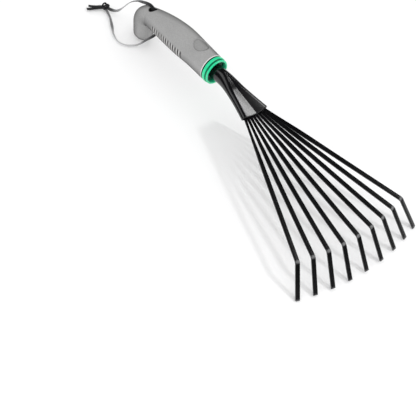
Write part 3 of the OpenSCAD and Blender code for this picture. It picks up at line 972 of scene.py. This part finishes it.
def build_loop():
    points = [np.asarray(row[0], float) for row in LOOP]
    values = np.array([row[1:] for row in LOOP], float)
    path, values = catmull_rom(points, values, steps=12)
    ahead = tangents(path)
    facing = unit(np.cross(ahead, EYE - path))
    for i in range(1, len(path)):
        if facing[i] @ facing[i - 1] < 0:     # keep the strap from flipping over
            facing[i] = -facing[i]
    edge = np.cross(ahead, facing)
    turn = np.radians(values[:, :1])
    section = braid_section(thickness=1.0)
    loop = sweep_strap("hanging_strap", path, facing * np.cos(turn) + edge * np.sin(turn),
                       -facing * np.sin(turn) + edge * np.cos(turn), section)
    add_attribute(loop, "pale", np.repeat(values[:, 1], len(section)))
    return loop


def build_knot():
    """Overhand knot: a tight trefoil of the same strap."""
    t = np.linspace(0, 2 * pi, 150, endpoint=False)
    path = np.stack([(np.sin(t) + 2 * np.sin(2 * t)) * 1.32,
                     (np.cos(t) - 2 * np.cos(2 * t)) * 1.30,
                     -np.sin(3 * t) * 1.65], 1)
    for angle, axis in ((62, "X"), (28, "Z")):
        path = path @ np.array(Matrix.Rotation(radians(angle), 3, axis)).T
    path = path + KNOT + np.array([0, 0, 0.1])
    ahead = unit(np.roll(path, -1, axis=0) - np.roll(path, 1, axis=0))
    outward = path - path.mean(0)
    outward -= ahead * np.sum(outward * ahead, axis=1, keepdims=True)
    # where the strap runs straight out of the knot, its face turns up instead
    lost = np.linalg.norm(outward, axis=1) < 0.2
    outward[lost] = np.array([0, 0, 1.0]) - ahead[lost] * ahead[lost, 2:]
    outward = unit(outward)
    return sweep_strap("knot_turns", path, np.cross(ahead, outward), outward,
                       strip_section(3.3, 1.5, corner=0.5, steps=3), closed=True)


def build_tail(name, angle, length, height, bow):
    angle = radians(angle)
    direction = np.array([cos(angle), sin(angle), 0])
    side = np.array([-sin(angle), cos(angle), 0])
    part = np.linspace(0, 1, 26)[:, None]
    path = (np.array([KNOT[0], KNOT[1], height]) + direction * (1.0 + length * part)
            + side * bow * np.sin(pi * part)
            + np.array([0, 0, 0.25]) * np.sin(2.2 * pi * part))
    ahead = tangents(path)
    wide = side * 0.93 + np.array([0, 0, 0.25])
    across = unit(wide - ahead * (ahead @ wide)[:, None])
    return sweep_strap(name, path, across, np.cross(ahead, across),
                       braid_section(thickness=1.25))


register(build_loop(), "cord", "hanging_cord")
register(build_knot(), "cord")
for tail in TAILS:
    register(build_tail(*tail), "cord")

# ---------------------------------------------------------------- floor and world
FLOOR_HALF = 3.0                    # m
floor_corners = [(x * FLOOR_HALF, y * FLOOR_HALF, 0)
                 for x, y in ((-1, -1), (1, -1), (1, 1), (-1, 1))]
make_mesh("floor", floor_corners, [(0, 1, 2, 3)], FLOOR)


def build_world():
    """White surroundings that are nearly dark to glossy rays."""
    world = bpy.data.worlds.new("studio")
    scene.world = world
    world.use_nodes = True
    nodes, links = world.node_tree.nodes, world.node_tree.links
    nodes.clear()
    output = nodes.new("ShaderNodeOutputWorld")
    backgrounds = []
    for strength in (1.0, 0.02):
        background = nodes.new("ShaderNodeBackground")
        background.inputs[0].default_value = (1, 1, 1, 1)
        background.inputs[1].default_value = strength
        backgrounds.append(background)
    light_path = nodes.new("ShaderNodeLightPath")
    mix = nodes.new("ShaderNodeMixShader")
    links.new(light_path.outputs["Is Glossy Ray"], mix.inputs[0])
    links.new(backgrounds[0].outputs[0], mix.inputs[1])
    links.new(backgrounds[1].outputs[0], mix.inputs[2])
    links.new(mix.outputs[0], output.inputs[0])
    world.cycles.sampling_method = "NONE"     # so that gloss really meets the dark studio


build_world()

# ---------------------------------------------------------------- lights, m
FERRULE = (0.04, 0.0, 0.045)


def area(name, azimuth, elevation, distance, size, energy, size_y=None, target=FERRULE):
    """Area light aimed at the target; azimuth in degrees from -Y towards +X."""
    light = bpy.data.lights.new(name, "AREA")
    light.energy = energy
    light.size = size
    if size_y:
        light.shape = "RECTANGLE"
        light.size_y = size_y
    obj = bpy.data.objects.new(name, light)
    scene.collection.objects.link(obj)
    around, above = radians(azimuth), radians(elevation)
    place = (target[0] + distance * sin(around) * cos(above),
             target[1] - distance * cos(around) * cos(above),
             target[2] + distance * sin(above))
    obj.location = place
    obj.rotation_mode = "QUATERNION"
    obj.rotation_quaternion = (Vector(target) - Vector(place)).to_track_quat("-Z", "Y")
    return obj


def light_set(name, *starts):
    """Collection of the meshes whose names begin with one of the given words."""
    collection = bpy.data.collections.new(name)
    scene.collection.children.link(collection)
    for obj in list(bpy.data.objects):
        if obj.type == "MESH" and obj.name.startswith(starts):
            collection.objects.link(obj)
    return collection


def card(name, receivers, **placing):
    """Light seen only in the gloss of the receivers."""
    obj = area(name, distance=1.4, **placing)
    obj.visible_diffuse = False
    obj.light_linking.receiver_collection = receivers


key = area("key_softbox", azimuth=123, elevation=56, distance=1.5, size=0.07, size_y=0.20,
           energy=3.9, target=(0.12, 0.0, 0.03))
key.visible_glossy = False
fill = area("fill_softbox", azimuth=-5, elevation=28, distance=1.5, size=0.60, energy=3.4)
fill.visible_glossy = False
fill.data.use_shadow = False

tine_set = light_set("tine_set", "tine_strip")
neck_set = light_set("neck_set", "neck_ferrule_steel")
bend_set = light_set("bend_set", "tine_strip", "core_collar")
key.light_linking.blocker_collection = tine_set       # only the tines shade the key light
card("card_right", neck_set, azimuth=-161, elevation=48.3, size=0.44, size_y=0.19, energy=2.5)
card("card_left", neck_set, azimuth=-48, elevation=54, size=0.90, size_y=0.60, energy=2.3)
card("card_bend", bend_set, azimuth=144, elevation=45, size=1.15, size_y=0.75, energy=9.0,
     target=(0.20, 0, 0.03))

# ---------------------------------------------------------------- camera
camera_data = bpy.data.cameras.new("camera")
camera = bpy.data.objects.new("camera", camera_data)
scene.collection.objects.link(camera)
right, down, ahead = VIEW_AXES @ TO_ROW.T
orientation = Matrix(np.stack([right, -down, -ahead], 1).tolist()).to_4x4()
camera.matrix_world = Matrix.Translation(Vector(EYE / 1000.0)) @ orientation
camera_data.sensor_width = 36.0
camera_data.lens = 116.5390875
camera_data.clip_start = 0.05
camera_data.clip_end = 20
scene.camera = camera

scene.view_settings.view_transform = "Standard"
scene.view_settings.look = "None"
scene.view_settings.exposure = 0.0
